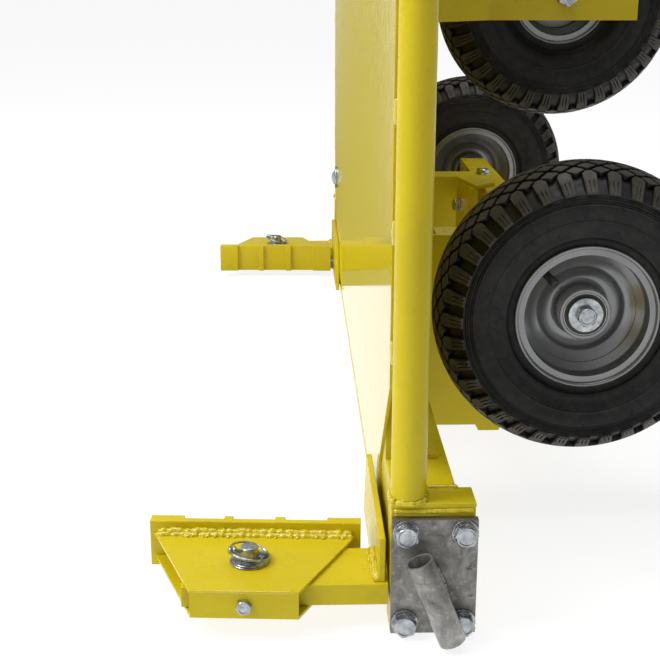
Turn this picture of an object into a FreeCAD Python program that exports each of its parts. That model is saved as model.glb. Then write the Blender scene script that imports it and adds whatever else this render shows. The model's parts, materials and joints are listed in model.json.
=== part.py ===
import FreeCAD, Part
import os, math
from FreeCAD import Vector as V

# Wide brick trolley. X points to the rear (wheel side), Y across the
# trolley, Z up. Origin: middle of the base beam's underside.

# ---- driving dimensions, mm -------------------------------------------------
BEAM_X = 60.0            # base beam depth
BEAM_Z = 125.0           # base beam height
BEAM_T = 4.0             # base beam wall
BEAM_HALF = 690.0        # half length of the base beam
BOX_X0, BOX_X1 = -32.0, 43.0     # end boxes, front and rear face
BOX_Y1 = 724.5           # outer face of the end boxes
PLATE_T = 8.0            # bolted end plates
PLATE_Z0, PLATE_Z1 = 1.0, 112.5
PLATE_OVER = 2.0         # end plates stand out this much at the rear
BOLT_PX, BOLT_Z0, BOLT_Z1 = 25.0, 13.0, 101.0   # end plate bolt pattern
SOCK_R, SOCK_BORE = 12.5, 10.5   # slanted socket tube
UP_X, UP_Y, UP_R, UP_T = -16.0, 711.0, 16.0, 2.6   # uprights
UP_BEND_Z, UP_BEND_R, UP_END_X = 1040.0, 90.0, 200.0
PANEL_X0, PANEL_X1 = -33.0, -30.0
PANEL_HALF, PANEL_Z0, PANEL_Z1 = 692.0, 36.0, 1015.0
NOTCH_Y, NOTCH_Z, NOTCH_TOP = 575.0, 104.0, 222.0  # cut lower corners
MAST_Y0, MAST_Y1 = 121.0, 161.0
RAIL_Z0, RAIL_Z1 = 975.0, 1005.0
MID_Z0, MID_Z1 = 520.0, 550.0
WHEEL_X, WHEEL_Z, WHEEL_Y = 190.0, 226.0, 442.0    # lower wheels
TYRE_R, TYRE_W = 158.5, 104.0
RIM_R, RIM_HALF = 76.5, 45.0
SUP_X, SUP_Z, SUP_R, SUP_RIM, SUP_HALF = 238.0, 536.0, 160.0, 63.5, 36.0   # upper wheel
ARM62 = 62.0             # inner face of the upper wheel's side plates
AX_X0, AX_X1, AX_Z0, AX_Z1 = 170.0, 210.0, 201.0, 251.0    # axle beam
AX_HALF = 396.0
SIDE_Y0, SIDE_Y1 = 223.0, 229.0  # chassis side plates
SLOT_Z, SLOT_H = 20.0, 13.0      # slot in the beam's front wall
CAR_X0, CAR_T = -42.0, 6.0       # slide plate, near one; the far one is set closer
FAR_SET = 2.6
PIN_X, PIN_Y, PIN_R = -160.0, 679.0, 9.0
FAR_IN = 40.0            # the far slide stands this much further in
FAR_SHORT = 14.0         # and its arm is this much shorter
ARM_Y, ARM_Z0, ARM_Z1 = 74.0, 24.0, 44.0
ARM_X0, ARM_X1, ARM_OUT = -221.0, -33.6, 5.0
TOE_NEAR, TOE_FAR = -3.6, -1.5   # turn of each jaw as it stands
FACE_HALF, FACE_Z0, FACE_Z1, FACE_T = 103.0, 12.4, 60.0, 8.0

os.makedirs("parts", exist_ok=True)
nodes = {}

def box(x0, x1, y0, y1, z0, z1):
    return Part.makeBox(x1 - x0, y1 - y0, z1 - z0, V(x0, y0, z0))

def cyl(r, p, q):
    a, b = V(*p), V(*q)
    d = b.sub(a)
    return Part.makeCylinder(r, d.Length, a, d)

def poly_z(pts, z0, z1):
    w = Part.makePolygon([V(x, y, z0) for x, y in pts] + [V(pts[0][0], pts[0][1], z0)])
    return Part.Face(w).extrude(V(0, 0, z1 - z0))

def poly_y(pts, y0, y1):
    w = Part.makePolygon([V(x, y0, z) for x, z in pts] + [V(pts[0][0], y0, pts[0][1])])
    return Part.Face(w).extrude(V(0, y1 - y0, 0))

def poly_x(pts, x0, x1):
    w = Part.makePolygon([V(x0, y, z) for y, z in pts] + [V(x0, pts[0][0], pts[0][1])])
    return Part.Face(w).extrude(V(x1 - x0, 0, 0))

def hexa(p, d, af, h, turn=0.0):
    # hexagonal prism of width af across flats from p along d
    d = V(*d).normalize()
    u = V(0, 0, 1) if abs(d.z) < 0.9 else V(1, 0, 0)
    u = u.sub(V(d).multiply(u.dot(d))).normalize()
    w = d.cross(u)
    r = af / math.sqrt(3.0)
    pts = []
    for i in range(6):
        a = math.radians(60 * i + turn)
        pts.append(V(*p).add(V(u).multiply(r * math.cos(a))).add(V(w).multiply(r * math.sin(a))))
    f = Part.Face(Part.makePolygon(pts + [pts[0]]))
    return f.extrude(V(d).multiply(h))

def bolt(p, d, af, hh, r, length, turn=0.0):
    # head stands out of p along d, shank goes the other way
    dv = V(*d).normalize()
    head = hexa(p, d, af, hh, turn)
    q = V(*p).sub(V(dv).multiply(length))
    sh = Part.makeCylinder(r, length + hh * 0.5, q, dv)
    return head.fuse(sh).removeSplitter()

def ring(p, d, ro, ri, h):
    dv = V(*d).normalize()
    return Part.makeCylinder(ro, h, V(*p), dv).cut(Part.makeCylinder(ri, h + 2, V(*p).sub(V(dv)), dv))

def mirror_y(s):
    return s.mirror(V(0, 0, 0), V(0, 1, 0))

def put(name, *solids):
    nodes[name] = solids[0] if len(solids) == 1 else Part.makeCompound(list(solids))

def pair(name, s):
    put(name, s, mirror_y(s))

def near_far(stem, s):
    put(stem + "_near", s)
    put(stem + "_far", mirror_y(s))

# ---- base beam with the slots that the slides run in ------------------------
beam = box(-BEAM_X/2, BEAM_X/2, -BEAM_HALF, BEAM_HALF, 0, BEAM_Z)
beam = beam.cut(box(-BEAM_X/2 + BEAM_T, BEAM_X/2 - BEAM_T, -BEAM_HALF - 1, BEAM_HALF + 1, BEAM_T, BEAM_Z - BEAM_T))
for s in (-1, 1):
    y0, y1 = sorted((s * 419.0, s * 645.0))
    beam = beam.cut(box(-BEAM_X/2 - 1, -BEAM_X/2 + BEAM_T + 1, y0, y1, SLOT_Z - SLOT_H/2, SLOT_Z + SLOT_H/2))
put("base_beam", beam)

# ---- end boxes, end plates, sockets (near side is -Y, far side mirrored) ----
eb = box(BOX_X0, BOX_X1, -BOX_Y1, -BEAM_HALF, 0, BEAM_Z)
eb = eb.cut(box(BOX_X0 + 5, BOX_X1 - 3.5, -BOX_Y1 + 6, -BEAM_HALF + 1, 5, BEAM_Z - 6))
cx = (BOX_X0 + BOX_X1) / 2
ep = box(BOX_X0, BOX_X1 + PLATE_OVER, -BOX_Y1 - PLATE_T, -BOX_Y1, PLATE_Z0, PLATE_Z1)
yo = -BOX_Y1 - PLATE_T
bolts, washers = [], []
for bx in (cx - BOLT_PX, cx + BOLT_PX + 2.5):
    for bz in (BOLT_Z0, BOLT_Z1):
        h = cyl(6.5, (bx, yo - 1, bz), (bx, -BOX_Y1 + 7, bz))
        ep = ep.cut(h)
        eb = eb.cut(h)
        washers.append(ring((bx, yo, bz), (0, -1, 0), 12.0, 6.5, 2.5).fuse(ring((bx, yo - 2.5, bz), (0, -1, 0), 10.2, 6.5, 2.5)).removeSplitter())
        bolts.append(bolt((bx, yo - 5.0, bz), (0, -1, 0), 19.0, 7.5, 6.0, 26.0, 7.0 * (bx + bz) % 60))
pair("end_boxes", eb)
near_far("end_plate", ep)
put("end_plate_bolts", *(bolts + [mirror_y(b) for b in bolts]))
put("end_plate_washers", *(washers + [mirror_y(b) for b in washers]))
SOCK_Y = yo - 12.5 - 1.0 - SOCK_R
s0, s1 = V(21.5, SOCK_Y, 8.0), V(-10.0, SOCK_Y, 86.0)
sd = s1.sub(s0)
sock = Part.makeCylinder(SOCK_R, sd.Length, s0, sd)
mid = s0.add(V(sd).multiply(0.62))
lug = box(mid.x - 9, mid.x + 9, SOCK_Y, yo, mid.z - 15, mid.z + 15)
lug.rotate(mid, V(0, 1, 0), -math.degrees(math.atan2(-sd.x, sd.z)))
sock = sock.fuse(lug).removeSplitter()
sock = sock.cut(Part.makeCylinder(SOCK_BORE, sd.Length + 2, s0.sub(V(sd).normalize()), sd))
pair("sockets", sock)

# ---- uprights: straight tube bent back into a handle ------------------------
def pipe(r):
    a = V(UP_X, -UP_Y, BEAM_Z)
    b = V(UP_X, -UP_Y, UP_BEND_Z)
    c = V(UP_X + UP_BEND_R, -UP_Y, UP_BEND_Z + UP_BEND_R)
    m = V(UP_X + UP_BEND_R * (1 - math.sqrt(0.5)), -UP_Y, UP_BEND_Z + UP_BEND_R * math.sqrt(0.5))
    e = V(UP_END_X, -UP_Y, UP_BEND_Z + UP_BEND_R)
    s = cyl(r, (a.x, a.y, a.z), (b.x, b.y, b.z))
    f = Part.Face(Part.Wire(Part.makeCircle(r, b, V(0, 0, 1))))
    t = f.revolve(V(UP_X + UP_BEND_R, -UP_Y, UP_BEND_Z), V(0, 1, 0), 90)
    u = cyl(r, (c.x, c.y, c.z), (e.x, e.y, e.z))
    return s.fuse([t, u]).removeSplitter()
near_far("upright", pipe(UP_R).cut(pipe(UP_R - UP_T)))
hz = UP_BEND_Z + UP_BEND_R
g = cyl(20.0, (88, -UP_Y, hz), (UP_END_X + 4, -UP_Y, hz)).cut(cyl(UP_R, (80, -UP_Y, hz), (UP_END_X, -UP_Y, hz)))
pair("handle_grips", g)

# ---- panel and what stiffens it ---------------------------------------------
P = PANEL_HALF
pts = [(-NOTCH_Y, PANEL_Z0), (NOTCH_Y, PANEL_Z0), (NOTCH_Y, NOTCH_Z), (P, NOTCH_TOP), (P, PANEL_Z1),
       (-P, PANEL_Z1), (-P, NOTCH_TOP), (-NOTCH_Y, NOTCH_Z)]
panel = poly_x(pts, PANEL_X0, PANEL_X1)
br = box(-30, -24, -622, -578, BEAM_Z, 205).fuse(box(-30, 20, -622, -578, BEAM_Z, BEAM_Z + 5)).removeSplitter()
rail = box(-30, 0, -694.7, 694.7, RAIL_Z0, RAIL_Z1).cut(box(-27.4, -2.6, -700, 700, RAIL_Z0 + 2.6, RAIL_Z1 - 2.6))
pb = []
for s, z in ((1, 183.0), (-1, 990.0), (1, 990.0)):
    y = s * 600.0
    h = cyl(8.5, (-40, y, z), (-23, y, z))
    panel = panel.cut(h)
    if z > 500:
        rail = rail.cut(h)
    b = ring((-33, y, z), (-1, 0, 0), 20.0, 8.0, 3.0)
    hd = Part.makeSphere(18.0, V(-24.5, y, z)).common(cyl(14.0, (-43, y, z), (-36, y, z)))
    b = b.fuse([hd, cyl(8.0, (-39, y, z), (-12, y, z)), hexa((-24 if z < 500 else -27.4, y, z), (1, 0, 0), 24.0, 12.0, 30)]).removeSplitter()
    pb.append(b)
br_far = mirror_y(br).cut(cyl(8.5, (-40, 600, 183), (-20, 600, 183)))
put("back_panel", panel)
put("panel_brackets", br, br_far)
put("panel_bolts", *pb)
put("top_rail", rail)
mast = box(-30, 10, -MAST_Y1, -MAST_Y0, BEAM_Z, RAIL_Z0).cut(box(-27, 7, -MAST_Y1 + 3, -MAST_Y0 - 3, BEAM_Z - 1, RAIL_Z0 + 1))
pair("masts", mast)
mr = box(-30, 0, -694.7, -MAST_Y1, MID_Z0, MID_Z1).cut(box(-27.4, -2.6, -700, -MAST_Y1 + 1, MID_Z0 + 2.6, MID_Z1 - 2.6))
pair("mid_rails", mr)

# ---- chassis: side plates with a folded top flange, axle beam, stub axles ---
sp = poly_y([(30, 8), (116, 8), (120, 0), (146, 0), (150, 8), (170, 60), (170, 257), (30, 257)], -SIDE_Y1, -SIDE_Y0)
fl = poly_z([(60, -SIDE_Y1), (188, -SIDE_Y1), (188, -134), (156, -101), (137, -181), (60, -181)], 251, 257)
web = poly_z([(137, -181), (152, -101), (158, -101), (143, -181)], 70, 251)
ab = box(AX_X0, AX_X1, -AX_HALF, AX_HALF, AX_Z0, AX_Z1).cut(box(AX_X0 + 4, AX_X1 - 4, -AX_HALF + 8, AX_HALF - 8, AX_Z0 + 4, AX_Z1 - 4))
side = sp.fuse([fl, web]).removeSplitter()
fb = []
for y in (-205.0,):
    h = cyl(5.3, (180, y, 240), (180, y, 260))
    side = side.cut(h)
    ab = ab.cut(h).cut(cyl(5.3, (180, -y, 240), (180, -y, 260)))
    fb.append(bolt((180, y, 259.0), (0, 0, 1), 17.0, 6.4, 5.0, 34.0, 10).fuse(ring((180, y, 257), (0, 0, 1), 10.5, 4.9, 2.0)).removeSplitter())
wp, wn = V(139.4, -168.2, 216.0), V(-80.0, 15.0, 0.0).normalize()
def along(t):
    q = wp.add(V(wn).multiply(t))
    return (q.x, q.y, q.z)
side = side.cut(cyl(5.3, along(3), along(-9)))
wt = 6.0 * 80.0 / math.hypot(80.0, 15.0)
wb = bolt(along(2.0), (wn.x, wn.y, 0), 17.0, 6.4, 5.0, wt + 11.0, 15)
wb = wb.fuse([ring(along(0), (wn.x, wn.y, 0), 10.5, 4.9, 2.0), hexa(along(-wt), (-wn.x, -wn.y, 0), 17.0, 8.0)]).removeSplitter()
fb.append(wb)
pair("side_plates", side)
for s in (-1, 1):
    ab = ab.cut(cyl(10.0, (WHEEL_X, s * 380, WHEEL_Z), (WHEEL_X, s * 400, WHEEL_Z)))
put("axle_beam", ab)
put("chassis_bolts", *(fb + [mirror_y(b) for b in fb]))
st = cyl(10.0, (WHEEL_X, -476.3, WHEEL_Z), (WHEEL_X, -340, WHEEL_Z)).fuse(cyl(14.0, (WHEEL_X, -410.5, WHEEL_Z), (WHEEL_X, -396, WHEEL_Z))).removeSplitter()
st = st.cut(cyl(6.0, (WHEEL_X, -480, WHEEL_Z), (WHEEL_X, -444, WHEEL_Z)))
pair("stub_axles", st)
pair("axle_washers", ring((WHEEL_X, -476.5, WHEEL_Z), (0, -1, 0), 20.0, 6.0, 3.0))
pair("axle_bolts", bolt((WHEEL_X, -479.5, WHEEL_Z), (0, -1, 0), 19.0, 8.0, 6.0, 32.0, 12))

# ---- wheels -----------------------------------------------------------------
def turned(pts, x, y, z):
    # closed outline (radius, offset across) turned about the wheel's axle
    w = Part.makePolygon([V(x + r, y + o, z) for r, o in pts] + [V(x + pts[0][0], y + pts[0][1], z)])
    return Part.Face(w).revolve(V(x, y, z), V(0, 1, 0), 360)

def tyre(x, y, z, R, F, H, W):
    # H: half width over the rim, W: half width of the tyre
    k = R - F
    half = [(F - 10.5, H - 14.0), (F - 10.5, H - 3.0), (F + 0.6, H - 3.0), (F + 2.0, H + 2.0), (F + 0.20 * k, W - 4.0), (F + 0.44 * k, W),
            (F + 0.62 * k, W - 1.5), (R - 19.5, W - 5.5), (R - 12.5, 37.0), (R - 5.6, 25.0), (R - 1.3, 12.0), (R, 4.0)]
    inner = [(F - 10.5, H - 14.0), (F + 2.0, H - 11.0), (F + 0.25 * k, W - 12.0), (F + 0.5 * k, W - 8.0), (F + 0.68 * k, W - 11.0), (R - 18.0, 26.0), (R - 13.5, 10.0)]
    out = half + [(r, -o) for r, o in reversed(half)]
    inn = [(r, -o) for r, o in inner[1:]] + [(r, o) for r, o in reversed(inner[1:])]
    return turned(out + inn, x, y, z)

def rim(x, y, z, F, hub_r, d, H):
    # d: where the disc stands across the rim
    p = [(F, H), (F, H - 3), (F - 10.5, H - 3), (F - 10.5, H - 20), (F - 20, H - 25), (F - 20, 25 - H), (F - 10.5, 20 - H), (F - 10.5, 3 - H), (F, 3 - H), (F, -H),
         (F - 13.5, -H), (F - 13.5, 19 - H), (F - 23, 24 - H), (F - 23, d - 2), (hub_r, d - 2), (hub_r, d + 2), (F - 23, d + 2), (F - 23, H - 24), (F - 13.5, H - 19), (F - 13.5, H)]
    return turned(p, x, y, z)

def wheel(tag, x, y, z, R, F, H, W, d, hub_r, half_in, half_out, bore_r, side, br):
    # side: +1 or -1, the way the outboard end points
    put("tyre_" + tag, tyre(x, y, z, R, F, H, W))
    put("rim_" + tag, rim(x, y, z, F, hub_r, d, H))
    a, b = y - side * half_in, y + side * half_out
    put("hub_" + tag, cyl(hub_r, (x, a, z), (x, b, z)).cut(cyl(br, (x, a - side, z), (x, b + side, z))))
    put("bearings_" + tag, ring((x, a, z), (0, side, 0), br, bore_r, 15.0), ring((x, b, z), (0, -side, 0), br, bore_r, 15.0))

wheel("near", WHEEL_X, -WHEEL_Y, WHEEL_Z, TYRE_R, RIM_R, RIM_HALF, TYRE_W / 2, 0.0, 27.5, 31.0, 34.0, 10.05, -1, 23.5)
wheel("far", WHEEL_X, WHEEL_Y, WHEEL_Z, TYRE_R, RIM_R, RIM_HALF, TYRE_W / 2, 0.0, 27.5, 31.0, 34.0, 10.05, 1, 23.5)
wheel("support", SUP_X, 0.0, SUP_Z, SUP_R, SUP_RIM, SUP_HALF, 51.0, 4.0, 24.0, 32.5, 32.5, 8.05, -1, 20.0)

# ---- side plates of the upper wheel -----------------------------------------
c = 0.609
T = 8.0
n = T * (math.sqrt(1 + c * c) - 1) / c / 1.0
ya, yb = -ARM62, -ARM62 - T
pl = [(332, ya), (136, ya), (10, ya - 126 * c), (10, ya - 126 * c - T * math.sqrt(1 + c * c)), (136 + n, yb), (332, yb)]
sa = poly_z(pl, SUP_Z - 31, SUP_Z + 31).cut(cyl(8.3, (SUP_X, yb - 2, SUP_Z), (SUP_X, ya + 2, SUP_Z)))
near_far("support_arm", sa)
put("support_axle", bolt((SUP_X, yb, SUP_Z), (0, -1, 0), 24.0, 10.0, 8.0, 2 * ARM62 + 2 * T + 18, 8))
put("support_nut", hexa((SUP_X, -yb, SUP_Z), (0, 1, 0), 24.0, 13.0, 20).cut(cyl(8.0, (SUP_X, 60, SUP_Z), (SUP_X, 95, SUP_Z))))
pair("support_spacers", ring((SUP_X, -ARM62, SUP_Z), (0, 1, 0), 13.0, 8.05, ARM62 - 33.0))

# ---- slides, arms and jaws (near side in place, far side mirrored) ----------
def slide_parts(shift, px, cx0):
    # shift: how far in from the outermost place; px: where the pin stands; cx0: front of the plate
    yp = -PIN_Y + shift
    yb = -632.0 + shift
    cx1 = cx0 + CAR_T
    car = poly_x([(y + shift, z) for y, z in ((-716, 44), (-716, 87), (-515, 87), (-480, 8), (-644, 8), (-644, 44))], cx0, cx1)
    car = car.fuse(box(cx1, -30.3, -644.0 + shift, -520.0 + shift, 8, 35)).removeSplitter()
    car = car.cut(cyl(5.5, (-45, yb, SLOT_Z), (-10, yb, SLOT_Z)))
    bar = box(-25.7, -17.7, yb - 25, yb + 25, 9, 31).cut(cyl(5.0, (-30, yb, SLOT_Z), (-10, yb, SLOT_Z)))
    bt = bolt((cx0 - 2.0, yb, SLOT_Z), (-1, 0, 0), 17.0, 6.4, 5.0, 26.0, 0).fuse(ring((cx0, yb, SLOT_Z), (-1, 0, 0), 10.5, 4.9, 2.0)).removeSplitter()
    ax0 = ARM_X0 + px - PIN_X
    ya, yc = yp - ARM_Y/2 - ARM_OUT, yp + ARM_Y/2 - ARM_OUT
    arm = box(ax0, ARM_X1, ya, yc, ARM_Z0, ARM_Z1)
    arm = arm.cut(box(ax0 + 3, ARM_X1 + 1, ya + 3, yc - 3, ARM_Z0 + 3, ARM_Z1 - 3))
    arm = arm.cut(cyl(PIN_R, (px, yp, 0), (px, yp, 80)))
    pin = cyl(PIN_R, (px, yp, 14.5), (px, yp, 64)).fuse(cyl(14.0, (px, yp, 14.5), (px, yp, 20.0))).removeSplitter()
    pin = pin.cut(cyl(2.3, (px - 20, yp, 54.0), (px + 20, yp, 54.0)))
    wash = ring((px, yp, 47.8), (0, 0, 1), 18.5, 9.1, 3.0)
    lyn = cyl(2.25, (px - 17, yp, 54.0), (px + 17, yp, 54.0))
    lyn = lyn.fuse(Part.makeTorus(17.0, 1.6, V(px, yp, 54.0), V(0, 0, 1))).removeSplitter()
    return car, bar, bt, arm, pin, wash, lyn

def jaw_parts(shift, px, toe):
    yp = -PIN_Y + shift
    tz = [(px - 98, yp + 58), (px + 98, yp + 58), (px + 49, yp - 58), (px - 49, yp - 58)]
    b = poly_z(tz, 44.5, 47.5).fuse([poly_z(tz, 20.5, 23.5), box(px - 49, px + 49, yp - 58, yp - 55, 20.5, 47.5)]).removeSplitter()
    b = b.cut(cyl(PIN_R + 0.05, (px, yp, 0), (px, yp, 80)))
    b = b.cut(cyl(4.2, (px, yp - 60, 33), (px, yp - 50, 33)))
    f = box(px - FACE_HALF, px + FACE_HALF, yp + 58, yp + 58 + FACE_T, FACE_Z0, FACE_Z1)
    ribs = [box(px + a, px + e, yp + 58 + FACE_T, yp + 64 + FACE_T, FACE_Z0, FACE_Z1) for a, e in ((-103, -70), (-31, -22), (19, 29), (70, 103))]
    f = f.fuse(ribs).removeSplitter()
    k = bolt((px, yp - 58, 33), (0, -1, 0), 13.0, 5.3, 4.0, 12.5, 12)
    out = []
    for s in (b, f, k):
        s = s.copy()
        s.rotate(V(px, yp, 0), V(0, 0, 1), toe)
        out.append(s)
    return out

SL = ("slide_plate", "clamp_bar", "clamp_bolt", "jaw_arm", "jaw_pin", "pin_washer", "lynch_pin")
JW = ("jaw_bracket", "jaw_face", "jaw_stop_bolt")
FAR_X = PIN_X + FAR_SHORT
for nm, s in zip(SL, slide_parts(0.0, PIN_X, CAR_X0)):
    put(nm + "_near", s)
for nm, s in zip(SL, slide_parts(FAR_IN, FAR_X, CAR_X0 + FAR_SET)):
    put(nm + "_far", mirror_y(s))
for nm, s in zip(JW, jaw_parts(0.0, PIN_X, TOE_NEAR)):
    put(nm + "_near", s)
for nm, s in zip(JW, jaw_parts(FAR_IN, FAR_X, -TOE_FAR)):
    put(nm + "_far", mirror_y(s))

for name, shape in nodes.items():
    if not shape.isValid():
        print("invalid", name)
    shape.exportStep("parts/%s.step" % name)
print(len(nodes), "nodes")
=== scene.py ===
import bpy, bmesh, math, random, json
from mathutils import Vector, Matrix, Euler, noise as mnoise

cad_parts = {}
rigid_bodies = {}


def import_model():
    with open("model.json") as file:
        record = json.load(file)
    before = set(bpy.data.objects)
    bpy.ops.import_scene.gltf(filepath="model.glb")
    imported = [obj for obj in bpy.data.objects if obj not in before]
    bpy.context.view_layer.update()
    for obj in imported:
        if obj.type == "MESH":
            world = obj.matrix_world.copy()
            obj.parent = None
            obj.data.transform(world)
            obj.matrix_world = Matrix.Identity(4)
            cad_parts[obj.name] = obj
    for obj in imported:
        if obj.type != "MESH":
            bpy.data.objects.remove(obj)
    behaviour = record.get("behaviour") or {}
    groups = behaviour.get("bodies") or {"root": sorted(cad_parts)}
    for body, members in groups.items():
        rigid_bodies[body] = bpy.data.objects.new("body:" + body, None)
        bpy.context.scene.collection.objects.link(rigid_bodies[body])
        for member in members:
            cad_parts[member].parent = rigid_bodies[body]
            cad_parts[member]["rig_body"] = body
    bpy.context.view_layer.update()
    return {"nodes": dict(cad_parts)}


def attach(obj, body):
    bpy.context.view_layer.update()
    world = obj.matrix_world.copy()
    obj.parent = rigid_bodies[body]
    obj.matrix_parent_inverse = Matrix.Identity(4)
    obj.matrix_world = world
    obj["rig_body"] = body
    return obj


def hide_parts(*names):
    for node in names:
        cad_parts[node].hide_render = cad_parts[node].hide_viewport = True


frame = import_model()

MM = 0.001
N = frame["nodes"]

# ---------------------------------------------------------------- materials
def new_mat(name):
    m = bpy.data.materials.new(name)
    m.use_nodes = True
    nt = m.node_tree
    b = nt.nodes["Principled BSDF"]
    return m, nt, b

def nd(nt, kind, **kw):
    n = nt.nodes.new(kind)
    for k, v in kw.items():
        if k.startswith("i_"):
            n.inputs[k[2:].replace("_", " ")].default_value = v
        else:
            setattr(n, k, v)
    return n

def ramp(nt, src, stops, interp="LINEAR"):
    r = nt.nodes.new("ShaderNodeValToRGB")
    r.color_ramp.interpolation = interp
    e = r.color_ramp.elements
    e[0].position, e[0].color = stops[0][0], (*stops[0][1], 1)
    e[1].position, e[1].color = stops[-1][0], (*stops[-1][1], 1)
    for p, c in stops[1:-1]:
        x = e.new(p); x.color = (*c, 1)
    nt.links.new(src, r.inputs["Fac"])
    return r.outputs["Color"]

def grey(v):
    return (v, v, v)

def coords(nt, scale=(1, 1, 1)):
    tc = nd(nt, "ShaderNodeTexCoord")
    mp = nd(nt, "ShaderNodeMapping")
    mp.inputs["Scale"].default_value = scale
    nt.links.new(tc.outputs["Object"], mp.inputs["Vector"])
    return mp.outputs["Vector"]

def noise(nt, vec, scale, detail=3.0, rough=0.55, dist=0.0):
    n = nd(nt, "ShaderNodeTexNoise")
    n.inputs["Scale"].default_value = scale
    n.inputs["Detail"].default_value = detail
    n.inputs["Roughness"].default_value = rough
    n.inputs["Distortion"].default_value = dist
    nt.links.new(vec, n.inputs["Vector"])
    return n.outputs["Fac"]

def bump(nt, b, srcs):
    prev = None
    for src, strength, dist in srcs:
        n = nd(nt, "ShaderNodeBump")
        n.inputs["Strength"].default_value = strength
        n.inputs["Distance"].default_value = dist
        nt.links.new(src, n.inputs["Height"])
        if prev is not None:
            nt.links.new(prev, n.inputs["Normal"])
        prev = n.outputs["Normal"]
    nt.links.new(prev, b.inputs["Normal"])

def mix_col(nt, fac, a, b_):
    m = nd(nt, "ShaderNodeMix", data_type="RGBA")
    nt.links.new(fac, m.inputs[0])
    for sock, val in ((m.inputs[6], a), (m.inputs[7], b_)):
        if isinstance(val, tuple):
            sock.default_value = (*val, 1)
        else:
            nt.links.new(val, sock)
    return m.outputs[2]

def mat_paint(name="yellow_enamel", lo=(0.57, 0.455, 0.005), hi=(0.66, 0.53, 0.009), rough=(0.24, 0.40), peel=0.10, coat=0.0, coat_rough=0.05, spec=0.25, wave=0.12):
    m, nt, b = new_mat(name)
    v = coords(nt)
    big = noise(nt, v, 9.0, 4.0, 0.6)
    base = ramp(nt, big, [(0.30, lo), (0.70, hi)])
    # faint grime that settled in patches and a few specks
    grime = noise(nt, v, 38.0, 6.0, 0.65, 0.6)
    gm = ramp(nt, grime, [(0.58, grey(0.0)), (0.78, grey(0.35))])
    col = mix_col(nt, gm, base, (0.42, 0.32, 0.010))
    speck = noise(nt, v, 420.0, 2.0, 0.5)
    sm = ramp(nt, speck, [(0.72, grey(0.0)), (0.79, grey(0.55))])
    col = mix_col(nt, sm, col, (0.28, 0.20, 0.01))
    nt.links.new(col, b.inputs["Base Color"])
    rr = noise(nt, v, 55.0, 4.0, 0.6)
    nt.links.new(ramp(nt, rr, [(0.3, grey(rough[0])), (0.75, grey(rough[1]))]), b.inputs["Roughness"])
    b.inputs["Specular IOR Level"].default_value = spec
    b.inputs["Coat Weight"].default_value = coat
    b.inputs["Coat Roughness"].default_value = coat_rough
    bump(nt, b, [(noise(nt, v, 30.0, 2.0, 0.5), wave, 0.002), (noise(nt, v, 650.0, 2.0, 0.5), peel, 0.0004)])
    return m

def mat_zinc(name="zinc_plate", lo=(0.20, 0.215, 0.23), hi=(0.58, 0.61, 0.635)):
    m, nt, b = new_mat(name)
    v = coords(nt)
    n1 = noise(nt, v, 120.0, 5.0, 0.62, 0.4)
    nt.links.new(ramp(nt, n1, [(0.30, lo), (0.72, hi)]), b.inputs["Base Color"])
    b.inputs["Metallic"].default_value = 0.95
    n2 = noise(nt, v, 260.0, 4.0, 0.6)
    nt.links.new(ramp(nt, n2, [(0.3, grey(0.18)), (0.75, grey(0.38))]), b.inputs["Roughness"])
    bump(nt, b, [(noise(nt, v, 900.0, 3.0, 0.6), 0.12, 0.0003)])
    return m

def mat_steel(name="bare_steel", k=1.0, rough=(0.50, 0.34)):
    m, nt, b = new_mat(name)
    v = coords(nt)
    n1 = noise(nt, v, 46.0, 7.0, 0.66, 0.8)
    base = ramp(nt, n1, [(0.28, (0.105 * k, 0.103 * k, 0.097 * k)), (0.50, (0.215 * k, 0.210 * k, 0.196 * k)), (0.74, (0.37 * k, 0.362 * k, 0.338 * k))])
    n2 = noise(nt, v, 240.0, 5.0, 0.7)
    sm = ramp(nt, n2, [(0.56, grey(0.0)), (0.70, grey(0.55))])
    col = mix_col(nt, sm, base, (0.48 * k, 0.47 * k, 0.44 * k))
    n3 = noise(nt, v, 95.0, 4.0, 0.6, 0.5)
    dk = ramp(nt, n3, [(0.60, grey(0.0)), (0.72, grey(0.75))])
    col = mix_col(nt, dk, col, (0.050, 0.043, 0.034))
    nt.links.new(col, b.inputs["Base Color"])
    b.inputs["Metallic"].default_value = 0.72
    nt.links.new(ramp(nt, n1, [(0.3, grey(rough[0])), (0.75, grey(rough[1]))]), b.inputs["Roughness"])
    bump(nt, b, [(n1, 0.12, 0.0008), (noise(nt, v, 700.0, 4.0, 0.65), 0.22, 0.0004)])
    return m

def mat_rubber(name="tyre_rubber", lo=(0.010, 0.010, 0.011), hi=(0.026, 0.026, 0.028), dust=0.25, dust_col=(0.060, 0.055, 0.046)):
    m, nt, b = new_mat(name)
    v = coords(nt)
    n1 = noise(nt, v, 22.0, 6.0, 0.66, 0.6)
    base = ramp(nt, n1, [(0.34, lo), (0.68, hi)])
    n2 = noise(nt, v, 58.0, 7.0, 0.74, 0.7)
    dm = ramp(nt, n2, [(0.46, grey(0.0)), (0.74, grey(dust))])
    nt.links.new(mix_col(nt, dm, base, dust_col), b.inputs["Base Color"])
    n3 = noise(nt, v, 160.0, 4.0, 0.6)
    nt.links.new(ramp(nt, n3, [(0.3, grey(0.40)), (0.75, grey(0.62))]), b.inputs["Roughness"])
    b.inputs["Specular IOR Level"].default_value = 0.28
    bump(nt, b, [(noise(nt, v, 1100.0, 3.0, 0.6), 0.20, 0.0004), (noise(nt, v, 140.0, 3.0, 0.5), 0.06, 0.0008)])
    return m

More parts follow.
